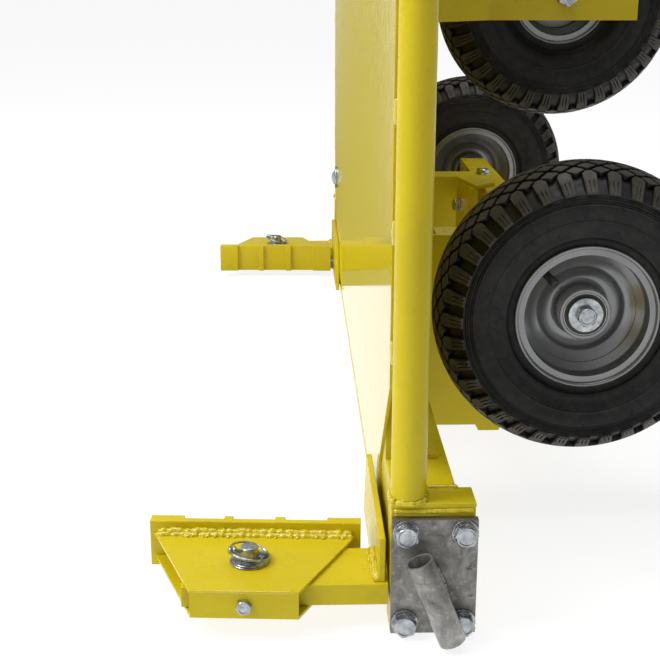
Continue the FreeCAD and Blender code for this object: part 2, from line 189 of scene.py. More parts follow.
def mat_rim(name="rim_lacquer"):
    m, nt, b = new_mat(name)
    v = coords(nt)
    n1 = noise(nt, v, 18.0, 4.0, 0.55)
    base = ramp(nt, n1, [(0.3, (0.195, 0.20, 0.21)), (0.75, (0.275, 0.28, 0.29))])
    n2 = noise(nt, v, 1500.0, 2.0, 0.5)
    fm = ramp(nt, n2, [(0.55, grey(0.0)), (0.75, grey(0.35))])
    col = mix_col(nt, fm, base, (0.46, 0.47, 0.48))
    n3 = noise(nt, v, 60.0, 5.0, 0.65)
    dm = ramp(nt, n3, [(0.62, grey(0.0)), (0.80, grey(0.30))])
    nt.links.new(mix_col(nt, dm, col, (0.15, 0.14, 0.125)), b.inputs["Base Color"])
    b.inputs["Metallic"].default_value = 0.55
    nt.links.new(ramp(nt, n3, [(0.3, grey(0.17)), (0.75, grey(0.30))]), b.inputs["Roughness"])
    b.inputs["Coat Weight"].default_value = 0.3
    b.inputs["Coat Roughness"].default_value = 0.15
    bump(nt, b, [(noise(nt, v, 40.0, 2.0, 0.5), 0.05, 0.001), (noise(nt, v, 800.0, 2.0, 0.5), 0.05, 0.0003)])
    return m

def mat_black(name="black_plastic", v0=0.012, v1=0.03, r0=0.35, r1=0.6):
    m, nt, b = new_mat(name)
    v = coords(nt)
    n1 = noise(nt, v, 150.0, 4.0, 0.6)
    nt.links.new(ramp(nt, n1, [(0.3, grey(v0)), (0.75, grey(v1))]), b.inputs["Base Color"])
    nt.links.new(ramp(nt, n1, [(0.3, grey(r0)), (0.75, grey(r1))]), b.inputs["Roughness"])
    bump(nt, b, [(noise(nt, v, 900.0, 3.0, 0.6), 0.15, 0.0003)])
    return m

PAINT = mat_paint()
PANEL = mat_paint("panel_enamel", (0.61, 0.49, 0.006), (0.65, 0.52, 0.008), (0.07, 0.12), 0.012, 0.0, 0.03, 0.45, 0.006)
BEAD = mat_paint("weld_enamel", (0.55, 0.43, 0.005), (0.68, 0.55, 0.010), (0.10, 0.20), 0.10, 0.6, 0.06, 0.5)
ZINC = mat_zinc()
STEEL = mat_steel()
TUBE = mat_steel("tube_steel", 1.25, (0.40, 0.22))
TYRE = mat_rubber("tyre_rubber", (0.0020, 0.0021, 0.0024), (0.0100, 0.0103, 0.0113), 0.42, (0.048, 0.045, 0.041))
TREAD = mat_rubber("tread_rubber", (0.026, 0.0238, 0.0210), (0.066, 0.060, 0.052), 0.55, (0.120, 0.108, 0.092))
RIM = mat_rim()
SEAL = mat_black("bearing_seal")
GRIP = mat_black("grip_rubber", 0.014, 0.032, 0.55, 0.8)
BEARING = mat_zinc("bearing_steel", (0.34, 0.34, 0.34), (0.5, 0.5, 0.5))

# ------------------------------------------------------------ mesh helpers
def finish_mesh(name, bm, mat, body, angle=32.0, replaces=(), keep=False):
    me = bpy.data.meshes.new(name)
    bm.normal_update()
    bm.to_mesh(me)
    bm.free()
    for a in [a.name for a in me.attributes if "normal" in a.name]:
        me.attributes.remove(me.attributes[a])
    soft = [p.use_smooth or not keep for p in me.polygons]
    me.set_sharp_from_angle(angle=math.radians(angle))
    for p, v in zip(me.polygons, soft):
        p.use_smooth = v
    ob = bpy.data.objects.new(name, me)
    bpy.context.scene.collection.objects.link(ob)
    mats = mat if isinstance(mat, (list, tuple)) else [mat]
    for m in mats:
        me.materials.append(m)
    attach(ob, body)
    if replaces:
        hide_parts(*replaces)
    return ob

def refine(node, mat, bevel=0.0008, segs=2, name=None, extra=None, angle=30.0):
    """A copy of a node with its edges rounded."""
    bm = bmesh.new()
    bm.from_mesh(N[node].data)
    bmesh.ops.remove_doubles(bm, verts=bm.verts, dist=2e-6)
    bmesh.ops.dissolve_limit(bm, angle_limit=math.radians(0.6), verts=bm.verts, edges=bm.edges)
    if bevel > 0:
        es = [e for e in bm.edges if len(e.link_faces) == 2 and e.calc_face_angle(0) > math.radians(angle)]
        bmesh.ops.bevel(bm, geom=es, offset=bevel, offset_type="OFFSET", segments=segs, profile=0.5, affect="EDGES", clamp_overlap=True)
    if extra:
        extra(bm)
    # plane faces stay plane in the shading; rounded edges and curved walls run smooth
    bm.normal_update()
    for f in bm.faces:
        soft = sum(e.calc_length() for e in f.edges if len(e.link_faces) == 2 and 0.0005 < e.calc_face_angle(0) < math.radians(14))
        f.smooth = 2 * f.calc_area() < bevel * f.calc_perimeter() or soft > 0.35 * f.calc_perimeter()
    return finish_mesh(name or node + "_finish", bm, mat, N[node]["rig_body"], 38.0, (node,), True)

def lathe(bm, prof, c, axis="Y", segs=96, mat=0, close=False):
    """Turns (radius, offset) points about an axis through c."""
    rings = []
    for r, o in prof:
        ring = []
        for i in range(segs):
            a = 2 * math.pi * i / segs
            if axis == "Y":
                p = (c[0] + r * math.cos(a), c[1] + o, c[2] + r * math.sin(a))
            elif axis == "Z":
                p = (c[0] + r * math.cos(a), c[1] + r * math.sin(a), c[2] + o)
            else:
                p = (c[0] + o, c[1] + r * math.cos(a), c[2] + r * math.sin(a))
            ring.append(bm.verts.new(p))
        rings.append(ring)
    pairs = list(zip(rings[:-1], rings[1:]))
    if close:
        pairs.append((rings[-1], rings[0]))
    for A, B in pairs:
        for i in range(segs):
            j = (i + 1) % segs
            f = bm.faces.new((A[i], A[j], B[j], B[i]))
            f.material_index = mat
    return rings

def basis(d):
    d = Vector(d).normalized()
    u = Vector((0, 0, 1)) if abs(d.z) < 0.9 else Vector((1, 0, 0))
    u = (u - d * u.dot(d)).normalized()
    return d, u, d.cross(u)

def hex_head(bm, p, d, af, h, turn=0.0, dish=0.0006, n=60, mat=0):
    """Hexagon head with its corners turned off and a slightly sunk top."""
    d, u, w = basis(d)
    p = Vector(p)
    rc = af * 0.475
    rings = []
    def ring(fr, fz):
        r_ = []
        for i in range(n):
            a = 2 * math.pi * i / n
            q = (math.degrees(a) + 30) % 60 - 30
            rh = af / 2 / math.cos(math.radians(q))
            r, z = fr(rh), fz(rh)
            t = a + math.radians(turn)
            r_.append(bm.verts.new(p + u * (r * math.cos(t)) + w * (r * math.sin(t)) + d * z))
        rings.append(r_)
    ring(lambda rh: rh * 0.985, lambda rh: -0.0002)
    ring(lambda rh: rh, lambda rh: 0.0003)
    ring(lambda rh: rh, lambda rh: h - (rh - rc) * 0.577 - 0.0003)
    ring(lambda rh: rh - 0.0003, lambda rh: h - (rh - rc) * 0.577)
    ring(lambda rh: rc, lambda rh: h)
    ring(lambda rh: rc - 0.0012, lambda rh: h)
    ring(lambda rh: rc - 0.0022, lambda rh: h - dish)
    ring(lambda rh: rc * 0.4, lambda rh: h - dish)
    for A, B in zip(rings[:-1], rings[1:]):
        for i in range(n):
            j = (i + 1) % n
            bm.faces.new((A[i], A[j], B[j], B[i])).material_index = mat
    bm.faces.new(rings[-1]).material_index = mat
    bm.faces.new(list(reversed(rings[0]))).material_index = mat

def disc(bm, p, d, ro, ri, h, n=48, mat=0, edge=0.0003):
    """Flat washer with eased edges."""
    d, u, w = basis(d)
    p = Vector(p)
    prof = [(ri, 0.0), (ro - edge, 0.0), (ro, edge), (ro, h - edge), (ro - edge, h), (ri + edge, h), (ri, h - edge)]
    rings = [[bm.verts.new(p + u * (r * math.cos(2 * math.pi * i / n)) + w * (r * math.sin(2 * math.pi * i / n)) + d * z) for i in range(n)] for r, z in prof]
    for A, B in zip(rings, rings[1:] + rings[:1]):
        for i in range(n):
            j = (i + 1) % n
            bm.faces.new((A[i], A[j], B[j], B[i])).material_index = mat

def rod(bm, p, q, r, n=32, mat=0, cham=0.0008):
    """Round bar with turned ends."""
    p, q = Vector(p), Vector(q)
    L = (q - p).length
    d, u, w = basis(q - p)
    c = min(cham, r * 0.5)
    prof = [(r - c, 0), (r, c), (r, L - c), (r - c, L)]
    rings = [[bm.verts.new(p + u * (rr * math.cos(2 * math.pi * i / n)) + w * (rr * math.sin(2 * math.pi * i / n)) + d * z) for i in range(n)] for rr, z in prof]
    for A, B in zip(rings[:-1], rings[1:]):
        for i in range(n):
            j = (i + 1) % n
            bm.faces.new((A[i], A[j], B[j], B[i])).material_index = mat
    bm.faces.new(rings[-1]).material_index = mat
    bm.faces.new(list(reversed(rings[0]))).material_index = mat

def weld(bm, pts, r, seed=1, step=0.0021, n=10, rough=1.0, mat=0):
    """Laid bead: overlapping ripples along a path, with uneven width."""
    rnd = random.Random(seed)
    pts = [Vector(p) for p in pts]
    seg = [(b - a).length for a, b in zip(pts[:-1], pts[1:])]
    L = sum(seg)
    k = max(6, int(L / step * (3 if step < 0.006 else 7)))
    rings = []
    ph = rnd.random() * 6
    for i in range(k + 1):
        s = L * i / k
        t = s
        for (a, b), l in zip(zip(pts[:-1], pts[1:]), seg):
            if t <= l or (a, b) == (pts[-2], pts[-1]):
                pos = a + (b - a) * min(1.0, t / l)
                dr = (b - a).normalized()
                break
            t -= l
        saw = (s / step + ph) % 1.0
        end = min(1.0, (min(s, L - s) + r * 0.25) / (r * 1.2))
        wob = rough * (0.16 * mnoise.noise(Vector((s * 140, seed * 3.1, 0))) + 0.10 * mnoise.noise(Vector((s * 500, seed * 1.7, 4))))
        rr = r * (0.86 + 0.20 * math.sin(math.pi * saw) + wob) * (0.25 + 0.75 * math.sqrt(end))
        d, u, w = basis(dr)
        off = (u * mnoise.noise(Vector((s * 90, 7, seed))) + w * mnoise.noise(Vector((s * 90, 11, seed)))) * r * 0.16 * rough
        rings.append([bm.verts.new(pos + off + u * (rr * math.cos(2 * math.pi * j / n)) + w * (rr * math.sin(2 * math.pi * j / n))) for j in range(n)])
    for A, B in zip(rings[:-1], rings[1:]):
        for j in range(n):
            q = (j + 1) % n
            bm.faces.new((A[j], A[q], B[q], B[j])).material_index = mat
    bm.faces.new(list(reversed(rings[0]))).material_index = mat
    bm.faces.new(rings[-1]).material_index = mat

def blob(bm, p, r, seed=1, mat=0):
    """Spatter bead."""
    g = bmesh.ops.create_icosphere(bm, subdivisions=2, radius=r, matrix=Matrix.Translation(Vector(p)))
    for v in g["verts"]:
        q = v.co - Vector(p)
        v.co = Vector(p) + q * (1 + 0.25 * mnoise.noise(q * 600 + Vector((seed, 0, 0))))
        for f in v.link_faces:
            f.material_index = mat

def mir(pts):
    return [(x, -y, z) for x, y, z in pts]

# ------------------------------------------------------------------ tyres
def spline_pts(pts, per=6):
    """Smooth open line through points (Catmull-Rom)."""
    out = []
    P = [Vector(p) for p in pts]
    for i in range(len(P) - 1):
        a = P[max(0, i - 1)]; b = P[i]; c = P[i + 1]; d = P[min(len(P) - 1, i + 2)]
        for k in range(per):
            t = k / per
            out.append(0.5 * ((2 * b) + (c - a) * t + (2 * a - 5 * b + 4 * c - d) * t * t + (3 * b - a - 3 * c + d) * t ** 3))
    out.append(P[-1])
    return out

def make_tyre(tag, c, R, F, H, W, body, lugs, phase):
    k = R - F
    crown = R - 6.2
    half = [(0, crown), (10, crown - 0.9), (20, crown - 3.6), (30, crown - 8.0), (38, crown - 13.0), (44, crown - 17.8), (W - 2.6, F + 0.675 * k), (W - 0.6, F + 0.57 * k),
            (W, F + 0.46 * k), (W - 1.6, F + 0.32 * k), (W - 4.6, F + 0.19 * k), (H + 1.8, F + 0.125 * k), (H - 2.2, F + 0.085 * k), (H - 3.4, F + 0.03 * k), (H - 3.2, F - 3)]
    line = spline_pts([(y, r, 0) for y, r in half], 8)
    acc = [0.0]
    for a, b in zip(line[:-1], line[1:]):
        acc.append(acc[-1] + (b - a).length)
    def at(s):
        """Point and outward normal of the carcass at arc length s from the crown."""
        sg = 1 if s >= 0 else -1
        s = min(abs(s), acc[-1] - 1e-6)
        i = 0
        while acc[i + 1] < s:
            i += 1
        t = (s - acc[i]) / (acc[i + 1] - acc[i])
        p = line[i].lerp(line[i + 1], t)
        d = (line[min(i + 2, len(line) - 1)] - line[max(i - 1, 0)]).normalized()
        nrm = Vector((-d.y, d.x, 0))
        return p.x * sg, p.y, nrm.x * sg, nrm.y
    def s_at_r(r):
        for i in range(len(line) - 1):
            if acc[i] > 30 and line[i].y >= r >= line[i + 1].y:
                t = (line[i].y - r) / (line[i].y - line[i + 1].y)
                return acc[i] + t * (acc[i + 1] - acc[i])
        return acc[-1]
    bm = bmesh.new()
    segs = 180
    # carcass with fine moulded rings on both sidewalls
    ss = []
    x = 0.0
    ridges = [s_at_r(F + q * k) for q in (0.665, 0.635, 0.605, 0.575, 0.545)] + [s_at_r(F + 0.11 * k), s_at_r(F + 0.335 * k)]
    def lift(s):
        h = 0.0
        for i, q in enumerate(ridges):
            wd = 0.62 if i < 5 else 0.9
            h += (0.95 if i < 5 else 0.55) * math.exp(-((s - q) / wd) ** 2)
        return h
    step = 2.6
    while x < acc[-1]:
        ss.append(x)
        near = min(abs(x - q) for q in ridges)
        x += 0.45 if near < 2.2 else step
    ss.append(acc[-1])
    prof = []
    for s in reversed(ss[1:]):
        y, r, ny, nr = at(-s)
        h = lift(s)
        prof.append(((r + nr * h) * MM, (y + ny * h) * MM))
    for s in ss:
        y, r, ny, nr = at(s)
        h = lift(s)
        prof.append(((r + nr * h) * MM, (y + ny * h) * MM))
    bead = [((F - 8.0) * MM, (H - 3.1) * MM), ((F - 10.3) * MM, (H - 6.0) * MM), ((F - 10.3) * MM, (H - 12.0) * MM)]
    prof = [(r, -y) for r, y in reversed(bead)] + prof + bead
    lathe(bm, prof, c, segs=segs, mat=0)
    # inner face closes the section
    inner = [((F - 10.3) * MM, (H - 12) * MM), ((F + 4) * MM, (H - 8) * MM), ((F + 0.3 * k) * MM, (W - 10) * MM), ((F + 0.6 * k) * MM, (W - 11) * MM), ((crown - 15) * MM, 20 * MM)]
    inner = inner + [(r, -y) for r, y in reversed(inner)]
    lathe(bm, inner, c, segs=90, mat=0)
    # raised blocks
    pitch = 2 * math.pi / lugs
    def put(theta0, uv, h_of, inset=0.6, mat=1, base=-0.7):
        """Block with outline uv: (arc length round, arc length across), mm."""
        cu = sum(p[0] for p in uv) / len(uv); cv = sum(p[1] for p in uv) / len(uv)
        rings = []
        for shr, hk, lo in ((0.0, 0.0, base), (0.0, 1.0, -0.8), (inset, 1.0, 0.0)):
            ring = []
            for u_, s_ in uv:
                du, dv = u_ - cu, s_ - cv
                L = math.hypot(du, dv)
                f = (L - shr) / L if L > 0 else 1
                uu, vv = cu + du * f, cv + dv * f
                y, r, ny, nr = at(vv)
                h = (h_of(vv) + lo) if hk else lo
                rr = r + nr * h
                yy = y + ny * h
                th = theta0 + uu / R
                ring.append(bm.verts.new((c[0] + rr * MM * math.cos(th), c[1] + yy * MM, c[2] + rr * MM * math.sin(th))))
            rings.append(ring)
        n = len(uv)
        flip = (cv < 0)
        for A, B, m_ in ((rings[0], rings[1], 0), (rings[1], rings[2], mat)):
            for i in range(n):
                j = (i + 1) % n
                bm.faces.new((A[i], A[j], B[j], B[i])).material_index = m_
        bm.faces.new(rings[-1]).material_index = mat
    pu = pitch * R
    row = 8.1
    def dens(uv, step_=6.0):
        out = []
        for (a, b) in zip(uv, uv[1:] + uv[:1]):
            n = max(1, int(math.hypot(b[0] - a[0], b[1] - a[1]) / step_))
            for i in range(n):
                t = i / n
                out.append((a[0] + (b[0] - a[0]) * t, a[1] + (b[1] - a[1]) * t))
        return out
    a_, b_ = pu / 2 - 4.2, row - 2.5
    for i in range(lugs):
        for j in range(-3, 4):
            th = phase + pitch * (i + (0.5 if j % 2 else 0.0))
            v0 = j * row
            uv = [(-a_, v0 + 0.6), (-a_, v0 - 0.6), (-a_ * 0.46, v0 - b_ * 0.64), (-1.1, v0 - b_), (1.1, v0 - b_), (a_ * 0.46, v0 - b_ * 0.64), (a_, v0 - 0.6), (a_, v0 + 0.6), (a_ * 0.46, v0 + b_ * 0.64), (1.1, v0 + b_), (-1.1, v0 + b_), (-a_ * 0.46, v0 + b_ * 0.64)]
            put(th, uv, lambda s: 6.1)
    s_end = s_at_r(F + 0.665 * k)
    for i in range(lugs):
        for sg in (-1, 1):
            th = phase + pitch * i
            t0 = 3 * row + 1.2
            w0, w1 = pu * 0.285, pu * 0.255
            body_uv = [(-3.4, t0), (3.4, t0), (w0, t0 + 4.8), (w0, t0 + 14), (w1, s_end), (-w1, s_end), (-w0, t0 + 14), (-w0, t0 + 4.8)]
            body_uv = dens([(u_, s_ * sg) for u_, s_ in body_uv])
            hh = lambda s: 6.1 if abs(s) < t0 + 10 else max(1.9, 6.1 - (abs(s) - t0 - 10) * 0.17)
            put(th, body_uv, hh)
            # three ribs with slits between them on the shoulder
            for q in (-1, 0, 1):
                x0 = q * w1 * 0.66
                rw = w1 * 0.22
                rib = [(x0 - rw, t0 + 14), (x0 + rw, t0 + 14), (x0 + rw, s_end - 0.6), (x0 - rw, s_end - 0.6)]
                rib = dens([(u_, s_ * sg) for u_, s_ in rib], 5.0)
                put(th, rib, lambda s: hh(s) + 0.85, inset=0.35, mat=1, base=1.0)
    # small moulding nibs on the sidewalls
    rnd = random.Random(int(phase * 1000) + lugs)
    for sg in (-1, 1):
        for i in range(46):
            rr = F + k * rnd.choice([0.2, 0.28, 0.4, 0.5])
            s = s_at_r(rr) + rnd.uniform(-2, 2)
            y, r, ny, nr = at(s * sg)
            th = rnd.uniform(0, 2 * math.pi)
            h = 1.1
            p0 = (c[0] + (r - 0.3 * nr) * MM * math.cos(th), c[1] + (y - 0.3 * ny) * MM, c[2] + (r - 0.3 * nr) * MM * math.sin(th))
            p1 = (c[0] + (r + nr * h) * MM * math.cos(th), c[1] + (y + ny * h) * MM, c[2] + (r + nr * h) * MM * math.sin(th))
            rod(bm, p0, p1, 0.55 * MM, n=6, cham=0.0002)
    bmesh.ops.recalc_face_normals(bm, faces=bm.faces)
    return finish_mesh("tyre_%s_rubber" % tag, bm, [TYRE, TREAD], body, 35.0, ("tyre_" + tag,))

# ------------------------------------------------------------------- rims
def make_rim(tag, c, F, W, hub_r, sgn, disc_in, disc_out, body):
    """Pressed steel rim: rolled flanges, well and dished disc. sgn is the way the outboard side points."""
    out = [(F - 1.2, -2.6), (F - 0.2, -1.2), (F, 0.0), (F - 0.8, 0.9), (F - 1.9, 1.0), (F - 3.0, 0.3), (F - 3.8, -1.2)]
    bm = bmesh.new()
    def dish(depth):
        # smooth bowl from the lip, one step, then the flat round the hub
        q = depth / 36.0
        g = (F - 46.0) / 30.5
        bowl = [(4.8, -4.6), (6.6, -9.4), (9.4, -14.5), (13.3, -19.2), (18.8, -23.2), (23.8, -26.0), (28.2, -27.4), (30.0, -27.9), (31.0, -28.9), (31.5, -31.0), (32.4, -33.4), (34.2, -34.8)]
        return [(F - r * g, z * q) for r, z in bowl] + [(hub_r + 6.0, -depth), (hub_r + 2.2, -depth + 0.6), (hub_r + 0.6, -depth + 2.4), (hub_r - 0.4, -depth + 4.5)]
    A = [(r * MM, sgn * (W + z) * MM) for r, z in out + dish(disc_out)]
    B = [(r * MM, -sgn * (W + z) * MM) for r, z in out + dish(disc_in)]
    barrel = [((F - 1.6) * MM, -sgn * (W - 3.0) * MM), ((F - 10.4) * MM, -sgn * (W - 3.0) * MM), ((F - 10.4) * MM, -sgn * (W - 19) * MM), ((F - 19) * MM, -sgn * (W - 25) * MM),
              ((F - 19) * MM, sgn * (W - 25) * MM), ((F - 10.4) * MM, sgn * (W - 19) * MM), ((F - 10.4) * MM, sgn * (W - 3.0) * MM), ((F - 1.6) * MM, sgn * (W - 3.0) * MM)]
    prof = list(reversed(B)) + barrel + A
    lathe(bm, prof, c, segs=120, mat=0, close=False)
    bmesh.ops.recalc_face_normals(bm, faces=bm.faces)
    return finish_mesh("rim_%s_steel" % tag, bm, RIM, body, 40.0, ("rim_" + tag,))

def make_hub(tag, c, hub_r, lo, hi, br, body):
    """Hub tube with eased ends; lo and hi are offsets along the axle."""
    bm = bmesh.new()
    e = 0.8
    prof = [(br, lo + 1.0), (br + 0.5, lo), (hub_r - e, lo), (hub_r, lo + e), (hub_r, hi - e), (hub_r - e, hi), (br + 0.5, hi), (br, hi - 1.0)]
    lathe(bm, [(r * MM, o * MM) for r, o in prof], c, segs=72, close=True)
    bmesh.ops.recalc_face_normals(bm, faces=bm.faces)
    finish_mesh("hub_%s_tube" % tag, bm, RIM, body, 40.0, ("hub_" + tag,))

def make_bearings(tag, c, br, bore, lo, hi, body):
    """Two ball bearings: steel races with a black seal sunk between them."""
    bm = bmesh.new()
    for o, s in ((lo, 1), (hi, -1)):
        z = lambda q: (o + s * q) * MM
        g0, g1 = bore + (br - bore) * 0.24, bore + (br - bore) * 0.92
        prof = [(bore, 1.0), (bore + 0.6, 0.5), (g0, 0.5), (g0 + 0.2, 1.2)]
        lathe(bm, [(r * MM, z(q)) for r, q in prof], c, segs=60, mat=0)
        prof = [(g0 + 0.2, 1.2), (g0 + 1.2, 0.9), (g1 - 1.2, 0.9), (g1 - 0.2, 1.2)]
        lathe(bm, [(r * MM, z(q)) for r, q in prof], c, segs=60, mat=1)
        prof = [(g1 - 0.2, 1.2), (g1, 0.5), (br - 0.5, 0.5), (br, 1.0), (br, 15.0), (bore, 15.0), (bore, 1.0)]
        lathe(bm, [(r * MM, z(q)) for r, q in prof], c, segs=60, mat=0)
    bmesh.ops.recalc_face_normals(bm, faces=bm.faces)
    finish_mesh("bearings_%s_set" % tag, bm, [BEARING, SEAL], body, 35.0, ("bearings_" + tag,))

def make_valve(tag, c, r0, ang, y0, sgn, body):
    """Short rubber valve with its cap, standing out of the rim's well."""
    a = math.radians(ang)
    rd = Vector((math.cos(a), 0, math.sin(a)))
    base = Vector(c) + rd * (r0 * MM) + Vector((0, y0 * MM, 0))
    d = (rd * -0.62 + Vector((0, sgn * 0.78, 0))).normalized()
    bm = bmesh.new()
    dd, u, w = basis(d)
    prof = [(6.4, -1.5), (6.4, 0.6), (5.6, 2.0), (4.6, 4.0), (4.1, 9.0), (3.9, 12.0), (4.7, 12.3), (4.7, 13.2), (4.9, 13.4), (4.9, 20.5), (4.2, 21.6), (2.0, 22.0)]
    n = 28
    rings = []
    for r, z in prof:
        rings.append([bm.verts.new(base + u * (r * MM * (1 + (0.05 if 13.3 < z < 21 and i % 2 else 0)) * math.cos(2 * math.pi * i / n)) + w * (r * MM * (1 + (0.05 if 13.3 < z < 21 and i % 2 else 0)) * math.sin(2 * math.pi * i / n)) + dd * (z * MM)) for i in range(n)])
    for A, B in zip(rings[:-1], rings[1:]):
        for i in range(n):
            j = (i + 1) % n
            bm.faces.new((A[i], A[j], B[j], B[i]))
    bm.faces.new(rings[-1])
    bm.faces.new(list(reversed(rings[0])))
    finish_mesh("valve_%s" % tag, bm, SEAL, body, 40.0)

WX, WZ, WY = 0.190, 0.226, 0.442
SUPC = (0.238, 0.0, 0.536)
make_tyre("near", (WX, -WY, WZ), 158.5, 76.5, 45.0, 52.0, "wheel_near", 36, 0.03)
make_tyre("far", (WX, WY, WZ), 158.5, 76.5, 45.0, 52.0, "wheel_far", 36, 0.11)
make_tyre("support", SUPC, 160.0, 63.5, 36.0, 51.0, "support_wheel", 36, 0.07)
make_rim("near", (WX, -WY, WZ), 76.5, 45.0, 27.5, -1, 42.0, 42.0, "wheel_near")
make_rim("far", (WX, WY, WZ), 76.5, 45.0, 27.5, 1, 42.0, 42.0, "wheel_far")
make_rim("support", SUPC, 63.5, 36.0, 24.0, -1, 30.0, 37.0, "support_wheel")
make_hub("near", (WX, -WY, WZ), 27.5, -34.0, 31.0, 23.5, "wheel_near")
make_hub("far", (WX, WY, WZ), 27.5, -31.0, 34.0, 23.5, "wheel_far")
make_hub("support", SUPC, 24.0, -32.5, 32.5, 20.0, "support_wheel")
make_bearings("near", (WX, -WY, WZ), 23.5, 10.05, -34.0, 31.0, "wheel_near")
make_bearings("far", (WX, WY, WZ), 23.5, 10.05, -31.0, 34.0, "wheel_far")
make_bearings("support", SUPC, 20.0, 8.05, -32.5, 32.5, "support_wheel")
make_valve("near", (WX, -WY, WZ), 64.0, 135.0, -27.0, -1, "wheel_near")
make_valve("far", (WX, WY, WZ), 64.0, 250.0, 27.0, 1, "wheel_far")
make_valve("support", SUPC, 51.0, 60.0, -19.0, -1, "support_wheel")

# ------------------------------------------------------- painted steelwork
YELLOW = ["base_beam", "end_boxes", "masts", "mid_rails", "top_rail", "panel_brackets", "side_plates", "axle_beam", "support_arm_near", "support_arm_far",
          "slide_plate_near", "slide_plate_far", "jaw_arm_near", "jaw_arm_far", "jaw_bracket_near", "jaw_bracket_far", "jaw_face_near", "jaw_face_far"]
for n in YELLOW:
    bev = {"base_beam": 0.004, "axle_beam": 0.003, "jaw_arm_near": 0.0022, "jaw_arm_far": 0.0022, "masts": 0.003, "mid_rails": 0.003, "top_rail": 0.003}.get(n, 0.0009)
    refine(n, PAINT, bev)
refine("back_panel", PANEL, 0.0008)
for n in ("upright_near", "upright_far"):
    refine(n, PAINT, 0.0)
for n in ("end_plate_near", "end_plate_far", "sockets", "clamp_bar_near", "clamp_bar_far"):
    refine(n, TUBE if n == "sockets" else STEEL, 0.0007)
refine("handle_grips", GRIP, 0.002)
for n in ("stub_axles", "support_spacers", "support_nut", "support_axle", "panel_bolts"):
    refine(n, ZINC, 0.0005)

# ------------------------------------------------------------------ screws
cx, PX, Z0, Z1, YO = 5.5, 25.0, 13.0, 101.0, 732.5
bm = bmesh.new(); bw = bmesh.new()
k = 0
for s in (-1, 1):
    for bx in (cx - PX, cx + PX + 2.5):
        for bz in (Z0, Z1):
            k += 1
            p = Vector((bx, s * YO, bz)) * MM
            d = Vector((0, s, 0))
            disc(bw, p, d, 0.012, 0.0062, 0.0025)
            disc(bw, p + d * 0.0026, d, 0.0102, 0.0062, 0.0023)
            hex_head(bm, p + d * 0.005, d, 0.019, 0.0075, 17.0 * k % 60)
            rod(bm, p - d * 0.0205, p + d * 0.0055, 0.006)
finish_mesh("end_plate_screws", bm, ZINC, "frame", 28.0, ("end_plate_bolts",))
finish_mesh("end_plate_flat_washers", bw, ZINC, "frame", 28.0, ("end_plate_washers",))

bm = bmesh.new(); bw = bmesh.new()
for s in (-1, 1):
    p = Vector((WX, s * 0.4765, WZ)); d = Vector((0, s, 0))
    disc(bw, p, d, 0.0188, 0.0062, 0.003, edge=0.0006)
    hex_head(bm, p + d * 0.003, d, 0.019, 0.008, 12)
    rod(bm, p - d * 0.028, p + d * 0.004, 0.006)
finish_mesh("axle_screws", bm, ZINC, "frame", 28.0, ("axle_bolts",))
finish_mesh("axle_flat_washers", bw, ZINC, "frame", 28.0, ("axle_washers",))

bm = bmesh.new()
for s in (-1, 1):
    p = Vector((0.180, s * 0.205, 0.257)); d = Vector((0, 0, 1))
    disc(bm, p, d, 0.0105, 0.0052, 0.002)
    hex_head(bm, p + d * 0.002, d, 0.017, 0.0064, 10)
    rod(bm, p - d * 0.030, p + d * 0.003, 0.005)
    p = Vector((0.1394, s * 0.1682, 0.216)); d = Vector((-80.0, -s * 15.0, 0)).normalized()
    disc(bm, p, d, 0.0105, 0.0052, 0.002)
    hex_head(bm, p + d * 0.002, d, 0.017, 0.0064, 15)
    rod(bm, p - d * 0.0148, p + d * 0.003, 0.005)
    hex_head(bm, p - d * 0.0059, -d, 0.017, 0.008, 40)
finish_mesh("chassis_screws", bm, ZINC, "frame", 28.0, ("chassis_bolts",))

